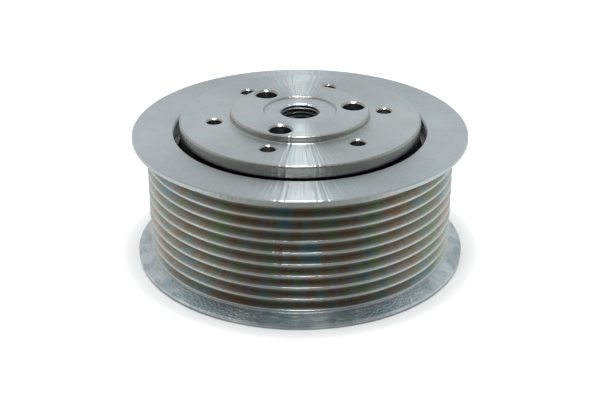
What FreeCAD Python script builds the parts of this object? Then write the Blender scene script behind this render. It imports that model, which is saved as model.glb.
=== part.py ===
"""Electromagnetic clutch with a ribbed belt pulley.

The clutch axis is +Z. The origin is the centre of the rear mounting face, so
the coil plate lies at z = 0 and the front plate faces up. Millimetres.
"""
import FreeCAD, Part
import math
import os

import Sketcher

DIMENSIONS = [
    # Belt pulley: rim, flanges and the nine belt grooves.
    ("pulley_rear", 0.5),
    ("pulley_front", 39.0),
    ("rim_radius", 49.0),
    ("rear_rim_chamfer", 0.3),
    ("rear_rim_width", 0.9),
    ("rear_flare_foot", 3.05),
    ("front_rim_width", 1.3),
    ("front_flare_foot", 35.75),
    ("edge_break", 0.3),
    ("mouth_break", 0.45),
    ("rib_radius", 45.0),
    ("rib_tip_round", 0.28),
    ("groove_root_round", 0.3),
    ("groove_pitch", 3.56),
    ("groove_count", 9),
    ("groove_depth", 2.85),
    ("groove_first", 5.16),
    ("groove_half_top", 1.43),
    ("groove_half_root", 0.39),
    ("groove_overrun", 1.0),
    ("mouth_radius", 36.75),
    ("rim_bore", 40.2),
    # Rotor: pole walls, friction disc and bearing seat.
    ("rotor_top", 33.1),
    ("disc_under", 29.1),
    ("outer_pole_inside", 38.2),
    ("outer_pole_rear", 4.5),
    ("inner_pole_outside", 27.0),
    ("inner_pole_rear", 2.6),
    ("shoulder_radius", 21.5),
    ("flux_slot_count", 6),
    ("flux_slot_angle", 48.0),
    ("inner_slot_near", 27.7),
    ("inner_slot_far", 29.5),
    ("outer_slot_near", 34.3),
    ("outer_slot_far", 36.1),
    ("lining_near", 30.5),
    ("lining_far", 33.3),
    ("lining_depth", 1.5),
    ("circlip_width", 1.2),
    ("circlip_groove_radius", 24.6),
    ("circlip_inside", 22.3),
    ("circlip_gap_angle", 24.0),
    # Double-row ball bearing, 30 x 47 x 18.
    ("bearing_rear", 4.5),
    ("bearing_front", 22.5),
    ("bearing_bore", 15.0),
    ("bearing_outside", 23.5),
    ("inner_land", 17.6),
    ("outer_land", 20.9),
    ("ring_chamfer", 0.5),
    ("ball_radius", 3.175),
    ("ball_count", 12),
    ("ball_pitch_radius", 19.25),
    ("rear_row", 9.7),
    ("front_row", 17.3),
    ("track_radius", 3.3),
    ("inner_track_centre", 19.36),
    ("outer_track_centre", 19.14),
    ("seal_seat_radius", 21.6),
    ("seal_seat_depth", 0.9),
    ("seal_width", 0.7),
    ("seal_lip", 17.7),
    ("cage_inside", 18.0),
    ("cage_outside", 20.5),
    ("cage_pocket_radius", 3.275),
    ("cage_web_reach", 4.0),
    ("cage_finger_reach", 1.3),
    # Stationary coil.
    ("plate_thickness", 2.0),
    ("plate_outside", 39.0),
    ("plate_bore", 16.5),
    ("plate_screw_count", 4),
    ("plate_screw_radius", 1.7),
    ("plate_screw_circle", 19.4),
    ("housing_inside", 27.6),
    ("housing_outside", 37.6),
    ("housing_wall", 1.6),
    ("housing_base", 4.0),
    ("housing_front", 28.3),
    ("bobbin_inside", 29.3),
    ("bobbin_outside", 35.8),
    ("bobbin_rear", 4.1),
    ("bobbin_front", 25.0),
    ("bobbin_wall", 0.8),
    ("bobbin_flange", 1.0),
    ("winding_outside", 34.9),
    ("tape_outside", 35.3),
    ("potting_front", 27.8),
    ("lead_circle", 32.6),
    ("grommet_collar", 3.6),
    ("grommet_neck", 3.0),
    ("grommet_bore", 1.4),
    ("grommet_rear", 0.3),
    # Front plate with its boss.
    ("front_plate_rear", 38.5),
    ("front_plate_front", 42.4),
    ("front_plate_radius", 35.2),
    ("front_plate_round", 0.7),
    ("boss_front", 44.5),
    ("boss_radius", 20.3),
    ("boss_fillet", 0.6),
    ("boss_round", 0.7),
    ("recess_break", 0.35),
    ("puller_circle", 15.8),
    ("puller_hole", 3.15),
    ("puller_chamfer", 0.5),
    ("rivet_circle", 25.1),
    ("rivet_hole", 2.125),
    ("rivet_hole_chamfer", 0.4),
    ("rivet_seat", 40.0),
    ("group_count", 3),
    # Hub on the driven shaft.
    ("hub_rear", 25.0),
    ("hub_front", 44.05),
    ("hub_radius", 10.4),
    ("hub_flange_rear", 36.0),
    ("hub_flange_radius", 12.4),
    ("shaft_bore", 6.5),
    ("web_rear", 33.0),
    ("web_front", 36.0),
    ("web_hole", 3.3),
    ("thread_minor", 5.325),
    ("thread_major", 6.0),
    ("thread_pitch", 1.25),
    ("thread_turns", 6),
    ("thread_first", 36.4),
    ("thread_flank", 0.45),
    ("thread_root", 0.2),
    ("thread_mouth_chamfer", 0.7),
    ("keyway_half_width", 1.5),
    ("keyway_floor", 7.9),
    # Springs, rivets and stop buffers between front plate and armature.
    ("spring_thickness", 0.5),
    ("spring_width", 7.0),
    ("spring_chord_offset", 21.7372),
    ("spring_half_span", 12.55),
    ("spring_half_reach", 16.0),
    ("spring_half_ramp", 6.5),
    ("spring_end_round", 3.3),
    ("spring_group_angle", -60.0),
    ("rivet_shank", 1.5),
    ("spring_rivet_head", 1.95),
    ("spring_rivet_head_height", 0.5),
    ("spring_rivet_foot", 2.4),
    ("spring_rivet_foot_height", 0.8),
    ("armature_rivet_head", 1.9),
    ("armature_rivet_head_height", 0.9),
    ("armature_rivet_angle", 60.0),
    ("buffer_circle", 26.0),
    ("buffer_radius", 3.0),
    ("buffer_stem", 1.5),
    ("buffer_stem_length", 1.6),
    ("buffer_angle", 90.0),
    # Armature disc, held one air gap off the rotor.
    ("armature_rear", 33.62),
    ("armature_front", 37.2),
    ("armature_inside", 21.5),
    ("armature_outside", 34.8),
    ("armature_slot_near", 30.8),
    ("armature_slot_far", 32.6),
    ("armature_slot_angle", 40.0),
    ("countersink_radius", 2.9),
    ("countersink_depth", 1.4),
    ("rivet_recess", 0.1),
    ("head_pocket_radius", 3.0),
    ("head_pocket_depth", 1.5),
]

DIMENSION = dict(DIMENSIONS)
MICRON = 0.001
MATCH = 0.01
NEARLY_WHOLE = 0.95
WHOLE_TURN = 360

doc = FreeCAD.newDocument("electromagnetic_clutch")
sheet = doc.addObject("Spreadsheet::Sheet", "Sizes")
for row, (alias, number) in enumerate(DIMENSIONS, start=1):
    sheet.set("A%d" % row, alias)
    sheet.set("B%d" % row, str(number))
    sheet.setAlias("B%d" % row, alias)
doc.recompute()

sub_parts = []


# --- Expressions and placing ------------------------------------------------

def value(words):
    """Work out a sum such as "rim_radius - edge_break" from the dimensions."""
    total = 0.0
    sign = 1.0
    for word in words.split():
        if word in "+-":
            sign = 1.0 if word == "+" else -1.0
        else:
            total += sign * (DIMENSION[word] if word in DIMENSION else float(word))
            sign = 1.0
    return total


def bound(words):
    """The same sum as an expression on the spreadsheet's cells."""
    terms = [("Sizes." + word if word in DIMENSION else word) for word in words.split()]
    return " ".join(terms)


def origin_feature(body, role):
    return [item for item in body.Origin.OriginFeatures if item.Role == role][0]


def make_body(label, angle=None):
    """An empty body; angle turns the finished sub-part about the clutch axis."""
    body = doc.addObject("PartDesign::Body", label)
    body.Label = label
    body.Placement = FreeCAD.Placement()
    if angle:
        body.Placement = FreeCAD.Placement(
            FreeCAD.Vector(0, 0, 0), FreeCAD.Rotation(FreeCAD.Vector(0, 0, 1), value(angle)))
        body.setExpression(".Placement.Rotation.Angle", bound(angle))
    sub_parts.append(body)
    return body


def make_sketch(body, name, role="XZ_Plane", height=None, angle=None):
    """A sketch on one of the body's own planes, raised by height and turned by angle."""
    sketch = body.newObject("Sketcher::SketchObject", name)
    sketch.AttachmentSupport = [(origin_feature(body, role), "")]
    sketch.MapMode = "FlatFace"
    if height:
        sketch.setExpression(".AttachmentOffset.Base.z", bound(height))
    if angle:
        sketch.AttachmentOffset = FreeCAD.Placement(
            FreeCAD.Vector(0, 0, 0), FreeCAD.Rotation(FreeCAD.Vector(0, 0, 1), value(angle)))
        sketch.setExpression(".AttachmentOffset.Rotation.Angle", bound(angle))
    return sketch


def negated(words):
    flipped = []
    for word in ("+ " + words if words.split()[0] not in "+-" else words).split():
        flipped.append({"+": "-", "-": "+"}.get(word, word))
    return " ".join(flipped)


def pin_point(sketch, element, point, across, along):
    """Hold one point of a sketch element at the two stated distances."""
    for kind, words, axis in (("DistanceX", across, -2), ("DistanceY", along, -1)):
        number = value(words)
        if abs(number) < MICRON:
            sketch.addConstraint(Sketcher.Constraint("PointOnObject", element, point, axis))
            continue
        if number > 0:
            constraint = Sketcher.Constraint(kind, -1, 1, element, point, number)
        else:
            constraint = Sketcher.Constraint(kind, element, point, -1, 1, -number)
            words = negated(words)
        index = sketch.addConstraint(constraint)
        sketch.setExpression("Constraints[%d]" % index, bound(words))


def draw_outline(sketch, corners):
    """A closed outline of straight edges through the stated corners."""
    places = [FreeCAD.Vector(value(across), value(along), 0) for across, along in corners]
    count = len(places)
    for index in range(count):
        sketch.addGeometry(Part.LineSegment(places[index], places[(index + 1) % count]), False)
    for index in range(count):
        sketch.addConstraint(Sketcher.Constraint("Coincident", index, 2, (index + 1) % count, 1))
    for index, (across, along) in enumerate(corners):
        pin_point(sketch, index, 1, across, along)


def draw_circle(sketch, across, along, radius):
    centre = FreeCAD.Vector(value(across), value(along), 0)
    circle = sketch.addGeometry(
        Part.Circle(centre, FreeCAD.Vector(0, 0, 1), value(radius)), False)
    pin_point(sketch, circle, 3, across, along)
    index = sketch.addConstraint(Sketcher.Constraint("Radius", circle, value(radius)))
    sketch.setExpression("Constraints[%d]" % index, bound(radius))


# --- Features ---------------------------------------------------------------

def material_change(body, feature, name, sign):
    """Recompute and make sure that the feature added (1) or removed (-1) material."""
    before = feature.BaseFeature.Shape.Volume if feature.BaseFeature else 0.0
    doc.recompute()
    change = feature.Shape.Volume - before
    if change * sign <= 0:
        raise RuntimeError("%s of %s changed the volume by %.3f" % (name, body.Label, change))
    body.Tip = feature
    return feature


def turn(body, name, corners, angle=None):
    """Revolve an outline of (radius, height) corners about the clutch axis."""
    sketch = make_sketch(body, name + "_outline")
    draw_outline(sketch, corners)
    feature = body.newObject("PartDesign::Revolution", name)
    feature.Profile = sketch
    feature.ReferenceAxis = (sketch, ["V_Axis"])
    feature.Angle = WHOLE_TURN
    if angle:
        feature.setExpression("Angle", bound(angle))
    return material_change(body, feature, name, 1)


def turn_away(body, name, draw, angle=None):
    """Cut a revolved outline out of the body; draw fills in the sketch."""
    sketch = make_sketch(body, name + "_outline")
    draw(sketch)
    feature = body.newObject("PartDesign::Groove", name)
    feature.Profile = sketch
    feature.ReferenceAxis = (sketch, ["V_Axis"])
    feature.Angle = WHOLE_TURN
    if angle:
        feature.setExpression("Angle", bound(angle))
        feature.Midplane = True
    return material_change(body, feature, name, -1)


def bore_hole(body, name, circle, radius, top, depth, angle=None):
    """A round hole on the stated circle, from top down through depth."""
    sketch = make_sketch(body, name + "_outline", "XY_Plane", top, angle)
    draw_circle(sketch, circle, "0", radius)
    feature = body.newObject("PartDesign::Pocket", name)
    feature.Profile = sketch
    feature.Type = "Length"
    feature.setExpression("Length", bound(depth))
    return material_change(body, feature, name, -1)


def around_axis(body, name, originals, count):
    """Repeat features evenly about the clutch axis."""
    feature = body.newObject("PartDesign::PolarPattern", name)
    feature.Originals = originals
    feature.Axis = (origin_feature(body, "Z_Axis"), [""])
    feature.Angle = WHOLE_TURN
    feature.setExpression("Occurrences", bound(count))
    body.Tip = feature
    doc.recompute()
    return feature


def copies_around_axis(body, name, count):
    """Repeat the whole finished piece about the clutch axis, as separate solids."""
    feature = body.newObject("PartDesign::PolarPattern", name)
    feature.TransformMode = "Whole shape"
    feature.Axis = (origin_feature(body, "Z_Axis"), [""])
    feature.Angle = WHOLE_TURN
    feature.setExpression("Occurrences", bound(count))
    body.Tip = feature
    doc.recompute()
    return feature


def along_axis(body, name, originals, pitch, count):
    """Repeat features along the clutch axis at a fixed pitch."""
    feature = body.newObject("PartDesign::LinearPattern", name)
    feature.Originals = originals
    feature.Direction = (origin_feature(body, "Z_Axis"), [""])
    feature.setExpression("Occurrences", bound(count))
    feature.setExpression("Length", "%s * (%s - 1)" % (bound(pitch), bound(count)))
    body.Tip = feature
    doc.recompute()
    return feature


def round_edges(shape, radius, height=None, circle=None):
    """Names of the full circles of this radius, at this height, centred on this circle."""
    names = []
    for index, edge in enumerate(shape.Edges, start=1):
        curve = edge.Curve
        if not isinstance(curve, Part.Circle) or abs(curve.Radius - value(radius)) > MATCH:
            continue
        if edge.Length < NEARLY_WHOLE * 2 * math.pi * curve.Radius:
            continue
        if height and abs(curve.Center.z - value(height)) > MATCH:
            continue
        offset = math.hypot(curve.Center.x, curve.Center.y)
        if abs(offset - (value(circle) if circle else 0.0)) > MATCH:
            continue
        names.append("Edge%d" % index)
    return names


def break_edges(body, kind, name, size, *edge_sets):
    """A chamfer or fillet on the circles that each (radius, height, circle) set names."""
    base = body.Tip
    names = []
    for edge_set in edge_sets:
        found = round_edges(base.Shape, *edge_set)
        if not found:
            raise RuntimeError("%s of %s finds no edge for %s" % (name, body.Label, edge_set))
        names += found
    feature = body.newObject("PartDesign::" + kind, name)
    feature.Base = (base, names)
    feature.setExpression("Size" if kind == "Chamfer" else "Radius", bound(size))
    doc.recompute()
    body.Tip = feature
    return feature


def box_corners(inside, outside, low, high):
    return [(inside, low), (outside, low), (outside, high), (inside, high)]


# --- Belt pulley and what turns with it -------------------------------------

def make_belt_pulley():
    body = make_body("belt_pulley")
    turn(body, "rim", [
        ("rim_bore", "pulley_rear"),
        ("rim_radius - rear_rim_chamfer", "pulley_rear"),
        ("rim_radius", "pulley_rear + rear_rim_chamfer"),
        ("rim_radius", "pulley_rear + rear_rim_chamfer + rear_rim_width"),
        ("rib_radius", "rear_flare_foot"),
        ("rib_radius", "front_flare_foot"),
        ("rim_radius", "pulley_front - front_rim_width"),
        ("rim_radius", "pulley_front"),
        ("mouth_radius", "pulley_front"),
        ("mouth_radius", "rotor_top"),
        ("rim_bore", "rotor_top"),
    ])
    groove = turn_away(body, "belt_groove", lambda sketch: draw_outline(sketch, [
        ("rib_radius - groove_depth", "groove_first - groove_half_root"),
        ("rib_radius", "groove_first - groove_half_top"),
        ("rib_radius + groove_overrun", "groove_first - groove_half_top"),
        ("rib_radius + groove_overrun", "groove_first + groove_half_top"),
        ("rib_radius", "groove_first + groove_half_top"),
        ("rib_radius - groove_depth", "groove_first + groove_half_root"),
    ]))
    along_axis(body, "belt_grooves", [groove], "groove_pitch", "groove_count")
    tips = []
    for step in range(int(value("groove_count"))):
        centre = "groove_first + %s" % repr(step * value("groove_pitch"))
        tips += [("rib_radius", centre + " - groove_half_top"),
                 ("rib_radius", centre + " + groove_half_top")]
    break_edges(body, "Fillet", "rib_tips", "rib_tip_round", *tips)
    break_edges(body, "Fillet", "groove_roots", "groove_root_round",
                ("rib_radius - groove_depth",))
    break_edges(body, "Chamfer", "rim_edge", "edge_break", ("rim_radius", "pulley_front"))
    break_edges(body, "Chamfer", "mouth_edges", "mouth_break",
                ("mouth_radius", "pulley_front"), ("rim_bore", "pulley_rear"))


def make_rotor():
    body = make_body("rotor")
    turn(body, "pole_body", [
        ("bearing_outside", "inner_pole_rear"),
        ("inner_pole_outside", "inner_pole_rear"),
        ("inner_pole_outside", "disc_under"),
        ("outer_pole_inside", "disc_under"),
        ("outer_pole_inside", "outer_pole_rear"),
        ("rim_bore", "outer_pole_rear"),
        ("rim_bore", "rotor_top"),
        ("shoulder_radius", "rotor_top"),
        ("shoulder_radius", "bearing_front"),
        ("bearing_outside", "bearing_front"),
    ])
    turn_away(body, "lining_groove", lambda sketch: draw_outline(sketch, box_corners(
        "lining_near", "lining_far", "rotor_top - lining_depth", "rotor_top")))
    turn_away(body, "circlip_groove", lambda sketch: draw_outline(sketch, box_corners(
        "bearing_outside", "circlip_groove_radius",
        "bearing_rear - circlip_width", "bearing_rear")))
    slots = []
    for name, near, far in (("inner_slot", "inner_slot_near", "inner_slot_far"),
                            ("outer_slot", "outer_slot_near", "outer_slot_far")):
        slots.append(turn_away(body, name, lambda sketch: draw_outline(sketch, box_corners(
            near, far, "disc_under", "rotor_top")), "flux_slot_angle"))
    around_axis(body, "flux_slots", slots, "flux_slot_count")


def make_friction_lining():
    body = make_body("friction_lining")
    turn(body, "ring", box_corners(
        "lining_near", "lining_far", "rotor_top - lining_depth", "rotor_top"))


def make_bearing_outer_ring():
    body = make_body("bearing_outer_ring")
    turn(body, "ring", [
        ("outer_land", "bearing_rear + seal_seat_depth"),
        ("seal_seat_radius", "bearing_rear + seal_seat_depth"),
        ("seal_seat_radius", "bearing_rear"),
        ("bearing_outside", "bearing_rear"),
        ("bearing_outside", "bearing_front"),
        ("seal_seat_radius", "bearing_front"),
        ("seal_seat_radius", "bearing_front - seal_seat_depth"),
        ("outer_land", "bearing_front - seal_seat_depth"),
    ])
    for row in ("rear_row", "front_row"):
        turn_away(body, row + "_track", lambda sketch: draw_circle(
            sketch, "outer_track_centre", row, "track_radius"))
    break_edges(body, "Chamfer", "outer_edges", "ring_chamfer",
                ("bearing_outside", "bearing_rear"), ("bearing_outside", "bearing_front"))


def make_bearing_inner_ring():
    body = make_body("bearing_inner_ring")
    turn(body, "ring", box_corners(
        "bearing_bore", "inner_land", "bearing_rear", "bearing_front"))
    for row in ("rear_row", "front_row"):
        turn_away(body, row + "_track", lambda sketch: draw_circle(
            sketch, "inner_track_centre", row, "track_radius"))
    break_edges(body, "Chamfer", "bore_edges", "ring_chamfer",
                ("bearing_bore", "bearing_rear"), ("bearing_bore", "bearing_front"))


def make_bearing_seals():
    body = make_body("bearing_seal_rear")
    turn(body, "ring", box_corners(
        "seal_lip", "seal_seat_radius",
        "bearing_rear + seal_seat_depth - seal_width", "bearing_rear + seal_seat_depth"))
    body = make_body("bearing_seal_front")
    turn(body, "ring", box_corners(
        "seal_lip", "seal_seat_radius",
        "bearing_front - seal_seat_depth", "bearing_front - seal_seat_depth + seal_width"))


def make_retaining_ring():
    body = make_body("bearing_retaining_ring")
    turn(body, "ring", box_corners(
        "circlip_inside", "circlip_groove_radius",
        "bearing_rear - circlip_width", "bearing_rear"))
    turn_away(body, "gap", lambda sketch: draw_outline(sketch, box_corners(
        "circlip_inside - groove_overrun", "circlip_groove_radius + groove_overrun",
        "bearing_rear - circlip_width", "bearing_rear")), "circlip_gap_angle")


def place_sphere(body, kind, name, radius, row):
    """A sphere centred on the ball pitch circle, in one ball row."""
    sphere = body.newObject("PartDesign::" + kind, name)
    sphere.AttachmentSupport = [(origin_feature(body, "XY_Plane"), "")]
    sphere.MapMode = "FlatFace"
    sphere.setExpression("Radius", bound(radius))
    sphere.setExpression(".AttachmentOffset.Base.x", bound("ball_pitch_radius"))
    sphere.setExpression(".AttachmentOffset.Base.z", bound(row))
    return sphere


def make_ball_row(side, row):
    body = make_body("ball_row_" + side)
    ball = place_sphere(body, "AdditiveSphere", "ball", "ball_radius", row)
    doc.recompute()
    around_axis(body, "row", [ball], "ball_count")


def make_ball_cage(side, row, low, high):
    """A crown cage: a ring whose fingers reach between the balls from the sealed side."""
    body = make_body("ball_cage_" + side)
    turn(body, "ring", box_corners("cage_inside", "cage_outside", low, high))
    pocket = place_sphere(body, "SubtractiveSphere", "pocket", "cage_pocket_radius", row)
    material_change(body, pocket, "pocket", -1)
    around_axis(body, "pockets", [pocket], "ball_count")


# --- Stationary coil ---------------------------------------------------------

def make_coil_plate():
    body = make_body("coil_mounting_plate")
    turn(body, "plate", box_corners("plate_bore", "plate_outside", "0", "plate_thickness"))
    hole = bore_hole(body, "screw_hole", "plate_screw_circle", "plate_screw_radius",
                     "plate_thickness", "plate_thickness")
    around_axis(body, "screw_holes", [hole], "plate_screw_count")
    bore_hole(body, "lead_hole", "lead_circle", "grommet_collar",
              "plate_thickness", "plate_thickness")


def make_coil_housing():
    body = make_body("coil_housing")
    turn(body, "channel", [
        ("housing_inside", "plate_thickness"),
        ("housing_outside", "plate_thickness"),
        ("housing_outside", "housing_front"),
        ("housing_outside - housing_wall", "housing_front"),
        ("housing_outside - housing_wall", "housing_base"),
        ("housing_inside + housing_wall", "housing_base"),
        ("housing_inside + housing_wall", "housing_front"),
        ("housing_inside", "housing_front"),
    ])
    bore_hole(body, "lead_hole", "lead_circle", "grommet_neck",
              "housing_base", "housing_base - plate_thickness")


def make_coil_bobbin():
    body = make_body("coil_bobbin")
    turn(body, "spool", [
        ("bobbin_inside", "bobbin_rear"),
        ("bobbin_outside", "bobbin_rear"),
        ("bobbin_outside", "bobbin_rear + bobbin_flange"),
        ("bobbin_inside + bobbin_wall", "bobbin_rear + bobbin_flange"),
        ("bobbin_inside + bobbin_wall", "bobbin_front - bobbin_flange"),
        ("bobbin_outside", "bobbin_front - bobbin_flange"),
        ("bobbin_outside", "bobbin_front"),
        ("bobbin_inside", "bobbin_front"),
    ])


def make_coil_filling():
    body = make_body("coil_winding")
    turn(body, "copper", box_corners(
        "bobbin_inside + bobbin_wall", "winding_outside",
        "bobbin_rear + bobbin_flange", "bobbin_front - bobbin_flange"))
    body = make_body("coil_tape")
    turn(body, "wrap", box_corners(
        "winding_outside", "tape_outside",
        "bobbin_rear + bobbin_flange", "bobbin_front - bobbin_flange"))
    body = make_body("coil_potting")
    turn(body, "resin", box_corners(
        "housing_inside + housing_wall", "housing_outside - housing_wall",
        "bobbin_front", "potting_front"))


def make_lead_grommet():
    body = make_body("lead_grommet")
    low = make_sketch(body, "collar_outline", "XY_Plane", "grommet_rear")
    draw_circle(low, "lead_circle", "0", "grommet_collar")
    collar = body.newObject("PartDesign::Pad", "collar")
    collar.Profile = low
    collar.setExpression("Length", bound("plate_thickness - grommet_rear"))
    material_change(body, collar, "collar", 1)
    high = make_sketch(body, "neck_outline", "XY_Plane", "plate_thickness")
    draw_circle(high, "lead_circle", "0", "grommet_neck")
    neck = body.newObject("PartDesign::Pad", "neck")
    neck.Profile = high
    neck.setExpression("Length", bound("housing_base - plate_thickness"))
    material_change(body, neck, "neck", 1)
    bore_hole(body, "lead_way", "lead_circle", "grommet_bore",
              "housing_base", "housing_base - grommet_rear")


# --- Hub and front plate -----------------------------------------------------

def make_front_plate():
    body = make_body("front_plate")
    turn(body, "plate", [
        ("hub_radius", "front_plate_rear"),
        ("front_plate_radius", "front_plate_rear"),
        ("front_plate_radius", "front_plate_front"),
        ("boss_radius", "front_plate_front"),
        ("boss_radius", "boss_front"),
        ("hub_radius", "boss_front"),
    ])
    break_edges(body, "Fillet", "plate_edge", "front_plate_round",
                ("front_plate_radius", "front_plate_front"))
    break_edges(body, "Fillet", "boss_foot", "boss_fillet", ("boss_radius", "front_plate_front"))
    break_edges(body, "Fillet", "boss_edge", "boss_round", ("boss_radius", "boss_front"))
    break_edges(body, "Chamfer", "rear_edge", "mouth_break",
                ("front_plate_radius", "front_plate_rear"))
    break_edges(body, "Chamfer", "recess_edge", "recess_break", ("hub_radius", "boss_front"))
    puller = bore_hole(body, "puller_hole", "puller_circle", "puller_hole",
                       "boss_front", "boss_front - front_plate_rear")
    around_axis(body, "puller_holes", [puller], "group_count")
    seat = bore_hole(body, "rivet_seat", "rivet_circle", "rivet_hole",
                     "front_plate_front", "front_plate_front - rivet_seat")
    shank = bore_hole(body, "rivet_shank_hole", "rivet_circle", "rivet_shank",
                      "rivet_seat", "rivet_seat - front_plate_rear")
    window = bore_hole(body, "armature_rivet_window", "rivet_circle", "rivet_hole",
                       "front_plate_front", "front_plate_front - front_plate_rear",
                       "armature_rivet_angle")
    stem = bore_hole(body, "buffer_stem_hole", "buffer_circle", "buffer_stem",
                     "front_plate_rear + buffer_stem_length", "buffer_stem_length",
                     "buffer_angle")
    around_axis(body, "plate_holes", [seat, shank, window, stem], "group_count")
    break_edges(body, "Chamfer", "puller_edges", "puller_chamfer",
                ("puller_hole", "boss_front", "puller_circle"))
    break_edges(body, "Chamfer", "rivet_hole_edges", "rivet_hole_chamfer",
                ("rivet_hole", "front_plate_front", "rivet_circle"))


def make_hub():
    body = make_body("hub")
    turn(body, "sleeve", [
        ("shaft_bore", "hub_rear"),
        ("hub_radius", "hub_rear"),
        ("hub_radius", "hub_flange_rear"),
        ("hub_flange_radius", "hub_flange_rear"),
        ("hub_flange_radius", "front_plate_rear"),
        ("hub_radius", "front_plate_rear"),
        ("hub_radius", "hub_front"),
        ("thread_minor", "hub_front"),
        ("thread_minor", "web_front"),
        ("web_hole", "web_front"),
        ("web_hole", "web_rear"),
        ("shaft_bore", "web_rear"),
    ])
    break_edges(body, "Chamfer", "thread_mouth", "thread_mouth_chamfer",
                ("thread_minor", "hub_front"))
    break_edges(body, "Chamfer", "sleeve_edges", "edge_break",
                ("shaft_bore", "hub_rear"), ("hub_radius", "hub_rear"),
                ("hub_flange_radius", "hub_flange_rear"))
    thread = turn_away(body, "thread_groove", lambda sketch: draw_outline(sketch, [
        ("thread_minor - groove_overrun", "thread_first"),
        ("thread_minor", "thread_first"),
        ("thread_major", "thread_first + thread_flank"),
        ("thread_major", "thread_first + thread_flank + thread_root"),
        ("thread_minor", "thread_first + thread_flank + thread_root + thread_flank"),
        ("thread_minor - groove_overrun",
         "thread_first + thread_flank + thread_root + thread_flank"),
    ]))
    along_axis(body, "thread_grooves", [thread], "thread_pitch", "thread_turns")
    sketch = make_sketch(body, "keyway_outline", "XY_Plane", "web_rear")
    draw_outline(sketch, [
        ("hub_radius - shaft_bore", "- keyway_half_width"),
        ("keyway_floor", "- keyway_half_width"),
        ("keyway_floor", "keyway_half_width"),
        ("hub_radius - shaft_bore", "keyway_half_width"),
    ])
    keyway = body.newObject("PartDesign::Pocket", "keyway")
    keyway.Profile = sketch
    keyway.Type = "Length"
    keyway.setExpression("Length", bound("web_rear - hub_rear"))
    material_change(body, keyway, "keyway", -1)


# --- Springs, rivets and buffers ---------------------------------------------

def make_leaf_springs():
    """Joggled strips: each runs from a front-plate rivet to the next armature rivet."""
    body = make_body("leaf_springs", "spring_group_angle")
    sketch = make_sketch(body, "strip_outline", "XZ_Plane", "- spring_chord_offset")
    draw_outline(sketch, [
        ("- spring_half_reach", "armature_front"),
        ("- spring_half_ramp", "armature_front"),
        ("spring_half_ramp", "front_plate_rear - spring_thickness"),
        ("spring_half_reach", "front_plate_rear - spring_thickness"),
        ("spring_half_reach", "front_plate_rear"),
        ("spring_half_ramp", "front_plate_rear"),
        ("- spring_half_ramp", "armature_front + spring_thickness"),
        ("- spring_half_reach", "armature_front + spring_thickness"),
    ])
    strip = body.newObject("PartDesign::Pad", "strip")
    strip.Profile = sketch
    strip.Midplane = True
    strip.setExpression("Length", bound("spring_width"))
    material_change(body, strip, "strip", 1)
    corners = [
        "Edge%d" % index for index, edge in enumerate(strip.Shape.Edges, start=1)
        if abs(abs(edge.CenterOfMass.x) - value("spring_half_reach")) < MICRON
        and abs(edge.BoundBox.ZLength - value("spring_thickness")) < MICRON
    ]
    ends = body.newObject("PartDesign::Fillet", "rounded_ends")
    ends.Base = (strip, corners)
    ends.setExpression("Radius", bound("spring_end_round"))
    doc.recompute()
    body.Tip = ends
    holes = make_sketch(body, "rivet_hole_outline", "XY_Plane", "front_plate_rear")
    draw_circle(holes, "spring_half_span", "spring_chord_offset", "rivet_shank")
    draw_circle(holes, "- spring_half_span", "spring_chord_offset", "rivet_shank")
    cut = body.newObject("PartDesign::Pocket", "rivet_holes")
    cut.Profile = holes
    cut.Type = "Length"
    cut.setExpression("Length", bound("front_plate_rear - armature_front"))
    material_change(body, cut, "rivet_holes", -1)
    copies_around_axis(body, "springs", "group_count")


def stack_discs(body, circle, angle, discs):
    """Coaxial discs one on the next: each is (name, radius, low, high)."""
    for name, radius, low, high in discs:
        sketch = make_sketch(body, name + "_outline", "XY_Plane", low, angle)
        draw_circle(sketch, circle, "0", radius)
        disc = body.newObject("PartDesign::Pad", name)
        disc.Profile = sketch
        disc.setExpression("Length", "%s - (%s)" % (bound(high), bound(low)))
        material_change(body, disc, name, 1)


def make_spring_rivets():
    body = make_body("spring_rivets")
    stack_discs(body, "rivet_circle", None, [
        ("foot", "spring_rivet_foot",
         "front_plate_rear - spring_thickness - spring_rivet_foot_height",
         "front_plate_rear - spring_thickness"),
        ("shank", "rivet_shank", "front_plate_rear - spring_thickness", "rivet_seat"),
        ("head", "spring_rivet_head", "rivet_seat", "rivet_seat + spring_rivet_head_height"),
    ])
    copies_around_axis(body, "rivets", "group_count")


def make_armature_rivets():
    body = make_body("armature_rivets")
    stack_discs(body, "rivet_circle", "armature_rivet_angle", [
        ("shank", "rivet_shank", "armature_rear + rivet_recess",
         "armature_front + spring_thickness"),
        ("head", "armature_rivet_head", "armature_front + spring_thickness",
         "armature_front + spring_thickness + armature_rivet_head_height"),
    ])
    sketch = make_sketch(body, "foot_outline", "XY_Plane", "armature_rear + rivet_recess",
                         "armature_rivet_angle")
    draw_circle(sketch, "rivet_circle", "0", "countersink_radius - rivet_recess")
    foot = body.newObject("PartDesign::Pad", "foot")
    foot.Profile = sketch
    foot.setExpression("Length", bound("countersink_depth - rivet_recess"))
    foot.setExpression("TaperAngle", "-atan((%s) / %s)" % (
        bound("countersink_radius - rivet_shank"), bound("countersink_depth")))
    material_change(body, foot, "foot", 1)
    copies_around_axis(body, "rivets", "group_count")


def make_stop_buffers():
    body = make_body("stop_buffers")
    stack_discs(body, "buffer_circle", "buffer_angle", [
        ("pad", "buffer_radius", "armature_front", "front_plate_rear"),
        ("stem", "buffer_stem", "front_plate_rear", "front_plate_rear + buffer_stem_length"),
    ])
    copies_around_axis(body, "buffers", "group_count")


# --- Armature ----------------------------------------------------------------

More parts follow.
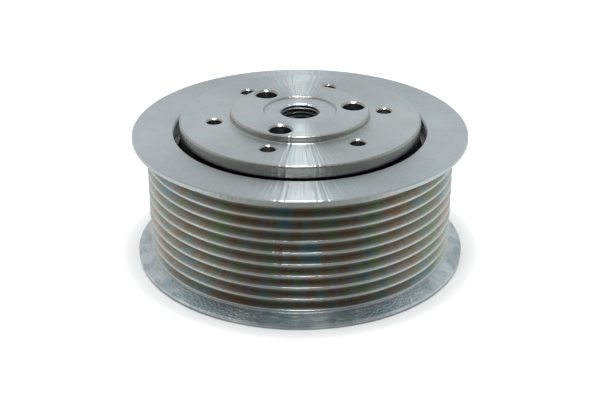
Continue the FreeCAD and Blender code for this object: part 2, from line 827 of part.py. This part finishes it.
def make_armature_disc():
    body = make_body("armature_disc")
    turn(body, "disc", box_corners(
        "armature_inside", "armature_outside", "armature_rear", "armature_front"))
    slot = turn_away(body, "flux_slot", lambda sketch: draw_outline(sketch, box_corners(
        "armature_slot_near", "armature_slot_far", "armature_rear", "armature_front")),
        "armature_slot_angle")
    around_axis(body, "flux_slots", [slot], "flux_slot_count")
    shank = bore_hole(body, "rivet_hole", "rivet_circle", "rivet_shank",
                      "armature_front", "armature_front - armature_rear",
                      "armature_rivet_angle")
    pocket = bore_hole(body, "head_pocket", "rivet_circle", "head_pocket_radius",
                       "armature_front", "head_pocket_depth")
    around_axis(body, "rivet_holes", [shank, pocket], "group_count")
    base = body.Tip
    sink = body.newObject("PartDesign::Chamfer", "countersinks")
    sink.Base = (base, round_edges(base.Shape, "rivet_shank", "armature_rear", "rivet_circle"))
    sink.ChamferType = "Two distances"
    sink.setExpression("Size", bound("countersink_radius - rivet_shank"))
    sink.setExpression("Size2", bound("countersink_depth"))
    doc.recompute()
    body.Tip = sink


make_belt_pulley()
make_rotor()
make_friction_lining()
make_bearing_outer_ring()
make_bearing_inner_ring()
make_bearing_seals()
make_retaining_ring()
make_ball_row("rear", "rear_row")
make_ball_row("front", "front_row")
make_ball_cage("rear", "rear_row", "rear_row - cage_web_reach", "rear_row + cage_finger_reach")
make_ball_cage("front", "front_row", "front_row - cage_finger_reach",
               "front_row + cage_web_reach")
make_coil_plate()
make_coil_housing()
make_coil_bobbin()
make_coil_filling()
make_lead_grommet()
make_front_plate()
make_hub()
make_leaf_springs()
make_spring_rivets()
make_armature_rivets()
make_stop_buffers()
make_armature_disc()

doc.recompute()
for item in doc.Objects:
    if "Invalid" in item.State or "Error" in item.State:
        raise RuntimeError("%s did not compute: %s" % (item.Label, item.State))
for part in sub_parts:
    if part.Shape.isNull() or not part.Shape.isValid() or not part.Shape.Solids:
        raise RuntimeError("%s has no valid shape" % part.Label)

os.makedirs("parts", exist_ok=True)
for part in sub_parts:
    part.Shape.exportStep("parts/%s.step" % part.Label)
    box = part.Shape.BoundBox
    print("%-24s %2d solids %10.1f mm3   z %.2f to %.2f" % (
        part.Label, len(part.Shape.Solids), part.Shape.Volume, box.ZMin, box.ZMax))
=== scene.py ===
"""Looks for the electromagnetic clutch: plated and turned metal, rubber, resin and studio light."""

import math

import bpy
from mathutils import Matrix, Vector


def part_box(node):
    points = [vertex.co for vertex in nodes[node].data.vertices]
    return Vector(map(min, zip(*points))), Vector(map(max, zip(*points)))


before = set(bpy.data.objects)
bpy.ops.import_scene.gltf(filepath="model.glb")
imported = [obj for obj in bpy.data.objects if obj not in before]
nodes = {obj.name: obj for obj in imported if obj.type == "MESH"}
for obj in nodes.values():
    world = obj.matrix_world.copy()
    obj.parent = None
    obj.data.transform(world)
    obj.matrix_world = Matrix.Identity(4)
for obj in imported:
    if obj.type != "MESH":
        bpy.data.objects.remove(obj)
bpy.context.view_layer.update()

MM = 0.001

# --- Sizes, in metres ----------------------------------------------------------
PULLEY_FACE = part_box("belt_pulley")[1].z
HUB_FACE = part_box("hub")[1].z
BOSS_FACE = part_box("front_plate")[1].z

# Places where a finish or a painted shade changes; each pair is (start, end) of the soft change.
LOWER_FLANGE = (3.4 * MM, 2.8 * MM)
BELT_ZONE_REAR = (2.4 * MM, 4.2 * MM)
BELT_ZONE_FRONT = (37.4 * MM, 36.4 * MM)
RIB_TIP = (44.3 * MM, 44.9 * MM)
INSIDE_BOSS = (19.3 * MM, 19.1 * MM)
INSIDE_PLATE = (33.2 * MM, 33.0 * MM)
BELOW_BOSS_FACE = (BOSS_FACE - 0.45 * MM, BOSS_FACE - 0.75 * MM)
BELOW_PLATE_FACE = (BOSS_FACE - 2.5 * MM, BOSS_FACE - 2.8 * MM)
THREAD_MOUTH = (5.9 * MM, 6.3 * MM)
NEAR_HUB_FACE = (HUB_FACE - 0.9 * MM, HUB_FACE - 0.4 * MM)

# --- Camera --------------------------------------------------------------------
CAMERA_AZIMUTH = math.radians(-9.5)
CAMERA_DISTANCE = 317.3 * MM
CAMERA_ABOVE_FACE = 133.35 * MM
CAMERA_PITCH = math.radians(26.37)
CAMERA_LENS = 70.36


def make_camera():
    data = bpy.data.cameras.new("camera")
    data.lens = CAMERA_LENS
    data.sensor_width = 36.0
    data.clip_start = 0.01
    camera = bpy.data.objects.new("camera", data)
    camera.location = (
        CAMERA_DISTANCE * math.sin(CAMERA_AZIMUTH),
        -CAMERA_DISTANCE * math.cos(CAMERA_AZIMUTH),
        PULLEY_FACE + CAMERA_ABOVE_FACE,
    )
    camera.rotation_euler = (math.pi / 2 - CAMERA_PITCH, 0, CAMERA_AZIMUTH)
    bpy.context.scene.collection.objects.link(camera)
    bpy.context.scene.camera = camera


# --- Node building -------------------------------------------------------------
LEVEL_COSINES = (0.955, 0.985)
QUARTER_TURN = 0.25


class Nodes:
    """Adds shader nodes to a tree with short calls."""

    def __init__(self, tree):
        self.tree = tree

    def add(self, kind):
        return self.tree.nodes.new(kind)

    def feed(self, socket, source):
        """Link a socket to another node's output, or give it a number, colour or vector."""
        if isinstance(source, bpy.types.NodeSocket):
            self.tree.links.new(source, socket)
        elif source is not None:
            socket.default_value = source

    def math(self, operation, first, second=None, clamp=False):
        node = self.add("ShaderNodeMath")
        node.operation = operation
        node.use_clamp = clamp
        self.feed(node.inputs[0], first)
        self.feed(node.inputs[1], second)
        return node.outputs[0]

    def times(self, first, second):
        return self.math("MULTIPLY", first, second)

    def plus(self, first, second):
        return self.math("ADD", first, second)

    def step(self, source, start, end):
        """A smooth rise from 0 at start to 1 at end."""
        node = self.add("ShaderNodeMapRange")
        node.interpolation_type = "SMOOTHSTEP"
        self.feed(node.inputs["Value"], source)
        node.inputs["From Min"].default_value = start
        node.inputs["From Max"].default_value = end
        return node.outputs[0]

    def combine(self, x, y, z):
        node = self.add("ShaderNodeCombineXYZ")
        for socket, source in zip(node.inputs, (x, y, z)):
            self.feed(socket, source)
        return node.outputs[0]

    def split(self, vector):
        node = self.add("ShaderNodeSeparateXYZ")
        self.feed(node.inputs[0], vector)
        return tuple(node.outputs)

    def noise(self, vector, scale, detail=2.0, roughness=0.5):
        node = self.add("ShaderNodeTexNoise")
        self.feed(node.inputs["Vector"], vector)
        node.inputs["Scale"].default_value = scale
        node.inputs["Detail"].default_value = detail
        node.inputs["Roughness"].default_value = roughness
        return node.outputs["Fac"]

    def ramp(self, factor, stops):
        """A colour ramp; each stop is (position, colour), a colour being 3 numbers or one grey."""
        node = self.add("ShaderNodeValToRGB")
        elements = node.color_ramp.elements
        while len(elements) < len(stops):
            elements.new(1.0)
        for element, (position, colour) in zip(elements, stops):
            element.position = position
            rgb = (colour,) * 3 if isinstance(colour, (int, float)) else colour
            element.color = (*rgb, 1.0)
        self.feed(node.inputs[0], factor)
        return node.outputs[0]

    def mix(self, factor, first, second, blend="MIX"):
        node = self.add("ShaderNodeMix")
        node.data_type = "RGBA"
        node.blend_type = blend
        self.feed(node.inputs["Factor"], factor)
        for socket, source in ((node.inputs[6], first), (node.inputs[7], second)):
            self.feed(socket, (*source, 1.0) if isinstance(source, tuple) else source)
        return node.outputs[2]

    def bump(self, height, strength, distance, below=None):
        node = self.add("ShaderNodeBump")
        node.inputs["Strength"].default_value = strength
        node.inputs["Distance"].default_value = distance
        self.feed(node.inputs["Height"], height)
        if below is not None:
            self.feed(node.inputs["Normal"], below)
        return node.outputs[0]


class Shader(Nodes):
    """A material with one Principled surface."""

    def __init__(self, name):
        self.material = bpy.data.materials.new(name)
        self.material.use_nodes = True
        super().__init__(self.material.node_tree)
        self.tree.nodes.clear()
        self.surface = self.add("ShaderNodeBsdfPrincipled")
        output = self.add("ShaderNodeOutputMaterial")
        self.tree.links.new(self.surface.outputs["BSDF"], output.inputs["Surface"])
        self.place = self.add("ShaderNodeTexCoord").outputs["Object"]

    def polar(self):
        """(radius, unit vector pointing outward, height) about the clutch axis."""
        x, y, z = self.split(self.place)
        flat = self.combine(x, y, 0.0)
        length = self.add("ShaderNodeVectorMath")
        length.operation = "LENGTH"
        self.feed(length.inputs[0], flat)
        outward = self.add("ShaderNodeVectorMath")
        outward.operation = "NORMALIZE"
        self.feed(outward.inputs[0], flat)
        return length.outputs["Value"], outward.outputs["Vector"], z

    def around(self, outward, spread, along, rise):
        """Noise coordinates: spread cells around the turn, others along the third axis."""
        x, y, _ = self.split(outward)
        return self.combine(self.times(x, spread), self.times(y, spread),
                            self.times(along, rise))

    def faces_up(self):
        """1 on level faces, 0 on walls and on slopes steeper than about 15 degrees."""
        normal = self.add("ShaderNodeNewGeometry").outputs["True Normal"]
        upright = self.math("ABSOLUTE", self.split(normal)[2])
        return self.step(upright, *LEVEL_COSINES)

    def turned_tangent(self):
        """Ring marks scatter light across the rings, so the blur is turned by a quarter."""
        node = self.add("ShaderNodeTangent")
        node.direction_type = "RADIAL"
        node.axis = "Z"
        self.feed(self.surface.inputs["Tangent"], node.outputs[0])
        self.surface.inputs["Anisotropic Rotation"].default_value = QUARTER_TURN

    def set(self, **sockets):
        for name, source in sockets.items():
            self.feed(self.surface.inputs[name.replace("_", " ").title()], source)


def grey(level, tint=(1.0, 1.0, 1.0)):
    return tuple(level * part for part in tint)


# --- Metals --------------------------------------------------------------------
ZINC = (0.90, 0.98, 1.03)
WHITE = (1.0, 1.0, 1.0)

# Noise scales, in cells per metre; CHATTER_TURN is in cells per radian.
CHATTER_TURN = 38.0
CHATTER_ALONG = 45.0
BLOTCH_SCALE = 70.0
GRAIN_SCALE = 1300.0
PIT_SCALE = 1500.0


def turned_metal(name, light, dark, roughness, anisotropy, wall_roughness=grey(0.2),
                 ring_depth=0.012 * MM, streak_depth=0.085 * MM, grit_depth=0.0, tone=None):
    """Lathe-turned metal: ring marks, chatter streaks across them and soft blotches.

    Level faces scatter more than walls and flanks, which have wall_roughness.
    grit_depth pits the lower flange.
    tone(shader, colour, radius, outward, height) may tint the colour by place."""
    shader = Shader(name)
    radius, outward, height = shader.polar()
    rings = shader.noise(shader.combine(shader.times(radius, 1000.0),
                                        shader.times(height, 1000.0), 0.0), 7.0, 3.0, 0.6)
    along = shader.plus(radius, height)
    chatter = shader.noise(shader.around(outward, CHATTER_TURN, along, CHATTER_ALONG),
                           1.0, 1.0, 0.6)
    blotch = shader.noise(shader.place, BLOTCH_SCALE, 5.0, 0.6)
    grain = shader.noise(shader.place, GRAIN_SCALE, 2.0, 0.6)
    shade = shader.plus(shader.times(blotch, 0.55),
                        shader.plus(shader.times(grain, 0.25), shader.times(rings, 0.2)))
    colour = shader.ramp(shade, [(0.35, dark), (0.65, light)])
    if tone:
        colour = tone(shader, colour, radius, outward, height)
    blurred = shader.plus(roughness - 0.06, shader.times(blotch, 0.12))
    rough = shader.mix(shader.faces_up(), wall_roughness, blurred)
    marks = shader.bump(rings, 0.6, ring_depth)
    if grit_depth:
        pits = shader.times(shader.noise(shader.place, PIT_SCALE, 1.0),
                            shader.step(height, *LOWER_FLANGE))
        marks = shader.bump(pits, 1.0, grit_depth, marks)
    shader.set(base_color=colour, metallic=1.0, roughness=rough, anisotropic=anisotropy,
               normal=shader.bump(chatter, 1.0, streak_depth, marks))
    shader.turned_tangent()
    return shader.material


# Interference colours of the passivated zinc, by film thickness.
FILM = [(0.28, (0.70, 0.88, 1.0)), (0.38, (0.84, 0.95, 0.96)), (0.45, (1.0, 0.90, 0.74)),
        (0.50, (1.0, 0.74, 0.54)), (0.55, (0.95, 0.86, 0.90)), (0.61, (0.92, 0.92, 0.56)),
        (0.70, (0.72, 0.84, 1.0))]


def belt_film(shader, colour, radius, outward, height):
    """The zinc's colour film on the groove flanks, painted shade darkening the flanks below the rib
    tips, and stains on the lower flange.
    """
    patches = shader.noise(shader.around(outward, 6.0, height, 55.0), 1.0, 3.0, 0.55)
    film = shader.ramp(patches, FILM)
    belt_zone = shader.times(shader.step(height, *BELT_ZONE_REAR),
                             shader.step(height, *BELT_ZONE_FRONT))
    tips = shader.step(radius, *RIB_TIP)
    amount = shader.times(belt_zone, shader.plus(0.85, shader.times(tips, -0.5)))
    # Painted shade: the groove flanks below the rib tips are darkened towards a dark grey.
    flanks = shader.times(amount, shader.plus(1.0, shader.times(tips, -1.0)))
    flanks_painted_dark = shader.mix(flanks, colour, grey(0.56, ZINC))
    tinted = shader.mix(amount, flanks_painted_dark, film, "MULTIPLY")
    stains = shader.noise(shader.around(outward, 6.0, radius, 150.0), 1.0, 4.0, 0.6)
    stained = shader.ramp(stains, [(0.40, (0.62, 0.68, 0.72)), (0.58, WHITE)])
    tinted = shader.mix(shader.step(height, *LOWER_FLANGE), tinted, stained, "MULTIPLY")
    faint = shader.ramp(shader.noise(shader.place, 40.0, 3.0, 0.6),
                        [(0.35, (0.95, 1.0, 1.0)), (0.5, (1.0, 0.98, 0.96)),
                         (0.65, (0.96, 1.0, 0.97))])
    return shader.mix(1.0, tinted, faint, "MULTIPLY")


def rays_and_painted_shade(shader, colour, radius, outward, height):
    """Weak tints in narrow rays; painted shade makes the walls a darker, warmer grey, and painted
    shade darkens the hole walls.
    """
    rays = shader.noise(shader.around(outward, 26.0, radius, 50.0), 1.0, 3.0, 0.6)
    tint = shader.ramp(rays, [(0.34, (0.90, 1.0, 0.99)), (0.46, (1.0, 0.96, 0.95)),
                              (0.56, (0.96, 1.0, 0.93)), (0.68, (0.93, 0.97, 1.0))])
    tinted = shader.mix(1.0, colour, tint, "MULTIPLY")
    # Painted shade: hole walls and the underside, below the boss and plate faces, are set to a flat
    # dark grey.
    under_boss_shade = shader.times(shader.step(radius, *INSIDE_BOSS),
                              shader.step(height, *BELOW_BOSS_FACE))
    under_plate_shade = shader.times(shader.step(radius, *INSIDE_PLATE),
                               shader.step(height, *BELOW_PLATE_FACE))
    # Painted shade: walls, rounds and chamfers that are not level get a darker, warmer grey than
    # the level faces.
    walls_painted_shade = shader.mix(shader.faces_up(), (0.41, 0.41, 0.385), tinted)
    return shader.mix(shader.math("MAXIMUM", under_boss_shade, under_plate_shade), walls_painted_shade, grey(0.42))


def painted_bore_shade(shader, colour, radius, outward, height):
    """The hub's face matches the plate; painted shade darkens its thread and bore."""
    outside_thread = shader.step(radius, *THREAD_MOUTH)
    near_face = shader.step(height, *NEAR_HUB_FACE)
    plain = shader.math("MAXIMUM", outside_thread, near_face)
    # Painted shade: the thread and bore, away from the face, are set to a dark grey.
    return shader.mix(plain, grey(0.24, ZINC), colour)


def plain_metal(name, light, dark, roughness, grain):
    """Ground or pressed steel without ring marks."""
    shader = Shader(name)
    cloud = shader.noise(shader.place, 120.0, 5.0, 0.6)
    speck = shader.noise(shader.place, 2400.0, 2.0, 0.5)
    colour = shader.ramp(cloud, [(0.3, dark), (0.7, light)])
    rough = shader.plus(roughness - 0.06, shader.times(cloud, 0.12))
    shader.set(base_color=colour, metallic=1.0, roughness=rough,
               normal=shader.bump(speck, 0.4, grain))
    return shader.material


def moulded(name, light, dark, roughness, grain, coat=0.0):
    """Rubber, resin or nylon with a fine moulded grain."""
    shader = Shader(name)
    cloud = shader.noise(shader.place, 160.0, 4.0, 0.6)
    speck = shader.noise(shader.place, 1800.0, 3.0, 0.6)
    colour = shader.ramp(shader.plus(shader.times(cloud, 0.6), shader.times(speck, 0.4)),
                         [(0.3, dark), (0.7, light)])
    rough = shader.plus(roughness - 0.08, shader.times(speck, 0.16))
    shader.set(base_color=colour, metallic=0.0, roughness=rough,
               normal=shader.bump(speck, 0.5, grain))
    shader.surface.inputs["Coat Weight"].default_value = coat
    return shader.material


WIRE_PITCH = 0.6 * MM


def wound_wire(name):
    """Enamelled copper wire, laid turn by turn along the axis."""
    shader = Shader(name)
    _, outward, height = shader.polar()
    turns = shader.math("SINE", shader.times(height, 2 * math.pi / WIRE_PITCH))
    drift = shader.noise(shader.around(outward, 1.0, height, 400.0), 3.0)
    colour = shader.ramp(drift, [(0.3, (0.55, 0.2, 0.08)), (0.7, (0.8, 0.38, 0.18))])
    shader.set(base_color=colour, metallic=1.0, roughness=0.3,
               normal=shader.bump(turns, 0.8, 0.1 * MM))
    return shader.material


def finish_nodes():
    pulley = turned_metal("zinc_pulley", grey(0.67, ZINC), grey(0.53, ZINC), 0.33, 0.94,
                          grit_depth=0.15 * MM, tone=belt_film)
    plate = turned_metal("zinc_plate", grey(0.69, ZINC), grey(0.54, ZINC), 0.34, 0.94,
                         tone=rays_and_painted_shade)
    hub = turned_metal("turned_hub", grey(0.66, ZINC), grey(0.58, ZINC), 0.33, 0.85,
                       tone=painted_bore_shade)
    rotor = turned_metal("turned_rotor", grey(0.42), grey(0.30), 0.38, 0.6)
    # A near-black armature disc.
    armature = plain_metal("near_black_armature", grey(0.12), grey(0.07), 0.5, 0.01 * MM)
    bearing = turned_metal("bearing_steel", grey(0.70), grey(0.64), 0.16, 0.3,
                           ring_depth=0.005 * MM, streak_depth=0.003 * MM)
    balls = plain_metal("ball_steel", grey(0.74), grey(0.70), 0.10, 0.002 * MM)
    coil_steel = plain_metal("coil_steel", grey(0.55, ZINC), grey(0.44, ZINC), 0.36, 0.02 * MM)
    spring = plain_metal("blued_spring", (0.16, 0.18, 0.26), (0.10, 0.11, 0.16), 0.3, 0.01 * MM)
    # Painted shade: the rivets are near black so that the holes they sit under read as shade.
    rivet_painted_dark = plain_metal("rivet_steel", grey(0.14), grey(0.08), 0.45, 0.01 * MM)
    rubber = moulded("black_rubber", grey(0.035), grey(0.015), 0.62, 0.02 * MM)
    seal = moulded("seal_rubber", (0.05, 0.022, 0.015), (0.03, 0.012, 0.01), 0.5, 0.01 * MM)
    lining = moulded("friction_lining", (0.16, 0.12, 0.09), (0.06, 0.05, 0.04), 0.8, 0.05 * MM)
    nylon = moulded("cage_nylon", (0.62, 0.55, 0.38), (0.52, 0.45, 0.30), 0.45, 0.01 * MM)
    bobbin = moulded("bobbin_nylon", grey(0.06), grey(0.03), 0.5, 0.01 * MM)
    tape = moulded("coil_tape", (0.68, 0.52, 0.12), (0.58, 0.42, 0.08), 0.4, 0.01 * MM)
    resin = moulded("potting_resin", grey(0.045), grey(0.02), 0.28, 0.03 * MM, 0.3)
    finishes = {
        "belt_pulley": pulley, "front_plate": plate, "hub": hub, "rotor": rotor,
        "friction_lining": lining, "bearing_outer_ring": bearing, "bearing_inner_ring": bearing,
        "bearing_seal_rear": seal, "bearing_seal_front": seal, "bearing_retaining_ring": spring,
        "ball_row_rear": balls, "ball_row_front": balls, "ball_cage_rear": nylon,
        "ball_cage_front": nylon, "coil_mounting_plate": coil_steel, "coil_housing": coil_steel,
        "coil_bobbin": bobbin, "coil_winding": wound_wire("copper_wire"), "coil_tape": tape,
        "coil_potting": resin, "lead_grommet": rubber, "leaf_springs": spring,
        "spring_rivets": rivet_painted_dark, "armature_rivets": rivet_painted_dark, "stop_buffers": rubber,
        "armature_disc": armature,
    }
    for name, material in finishes.items():
        slots = nodes[name].data.materials
        for index in range(len(slots)):
            slots[index] = material
        if not slots:
            slots.append(material)


# --- Studio --------------------------------------------------------------------
FLOOR_SIZE = 6.0
FLOOR_LEVEL = -0.02 * MM


def make_floor():
    mesh = bpy.data.meshes.new("floor")
    half = FLOOR_SIZE / 2
    mesh.from_pydata([(-half, -half, 0), (half, -half, 0), (half, half, 0), (-half, half, 0)],
                     [], [(0, 1, 2, 3)])
    floor = bpy.data.objects.new("floor", mesh)
    bpy.context.scene.collection.objects.link(floor)
    shader = Shader("floor")
    paper = shader.noise(shader.place, 3.0, 3.0)
    shader.set(base_color=shader.ramp(paper, [(0.3, grey(0.93)), (0.7, grey(0.95))]),
               roughness=0.8)
    mesh.materials.append(shader.material)
    floor.location.z = FLOOR_LEVEL
    floor.visible_glossy = False


FRONT = (math.sin(CAMERA_AZIMUTH), -math.cos(CAMERA_AZIMUTH))


def make_world():
    """White sweep below and behind, soft light overhead, a dark room in front.

    turn runs from 0 behind the clutch to 1 on the camera's side."""
    world = bpy.data.worlds.new("studio")
    bpy.context.scene.world = world
    world.use_nodes = True
    sky = Nodes(world.node_tree)
    x, y, z = sky.split(sky.add("ShaderNodeTexCoord").outputs["Generated"])
    level = sky.math("SQRT", sky.plus(sky.times(x, x), sky.times(y, y)))
    ahead = sky.plus(sky.times(x, FRONT[0]), sky.times(y, FRONT[1]))
    cosine = sky.math("DIVIDE", ahead, sky.math("MAXIMUM", level, 0.01))
    turn = sky.plus(sky.times(cosine, 0.5), 0.5)
    room = sky.ramp(turn, [(0.0, (0.76, 0.77, 0.78)), (0.33, (0.72, 0.73, 0.74)),
                           (0.62, (0.42, 0.42, 0.41)), (0.84, (0.16, 0.16, 0.155)),
                           (1.0, (0.13, 0.13, 0.125))])
    sweep = sky.ramp(turn, [(0.0, (0.80, 0.80, 0.79)), (0.5, (1.0, 1.0, 0.98)),
                            (0.67, (0.90, 0.90, 0.88)), (0.85, (0.50, 0.50, 0.47)),
                            (1.0, (0.38, 0.38, 0.355))])
    upper = sky.mix(sky.step(z, 0.55, 0.92), room, (0.70, 0.71, 0.72))
    colour = sky.mix(sky.step(z, -0.10, 0.04), sweep, upper)
    background = world.node_tree.nodes["Background"]
    sky.feed(background.inputs["Color"], colour)
    background.inputs["Strength"].default_value = 1.0


def make_area(name, place, target, width, depth, watts):
    """A rectangular white lamp at place, aimed at target."""
    data = bpy.data.lights.new(name, "AREA")
    data.shape = "RECTANGLE"
    data.size = width
    data.size_y = depth
    data.energy = watts
    light = bpy.data.objects.new(name, data)
    light.location = place
    light.rotation_euler = (Vector(target) - Vector(place)).to_track_quat("-Z", "Y").to_euler()
    bpy.context.scene.collection.objects.link(light)
    return light


def in_front(forward, height):
    """A place on the camera's side of the axis."""
    return (forward * FRONT[0], forward * FRONT[1], height)


def make_lights():
    """A broad fill that only the floor and matt parts show, and small lamps for the glints."""
    centre = (0.0, 0.0, PULLEY_FACE / 2)
    fill = make_area("top_fill", (0.0, 0.05, 0.9), centre, 0.6, 0.6, 7.0)
    fill.visible_glossy = False
    make_area("key_lamp", in_front(0.02, 0.34), centre, 0.03, 0.03, 0.16)
    make_area("edge_lamp", in_front(0.148, 0.356), centre, 0.12, 0.03, 0.25)


make_camera()
finish_nodes()
make_floor()
make_world()
make_lights()
bpy.context.scene.view_settings.view_transform = "Standard"
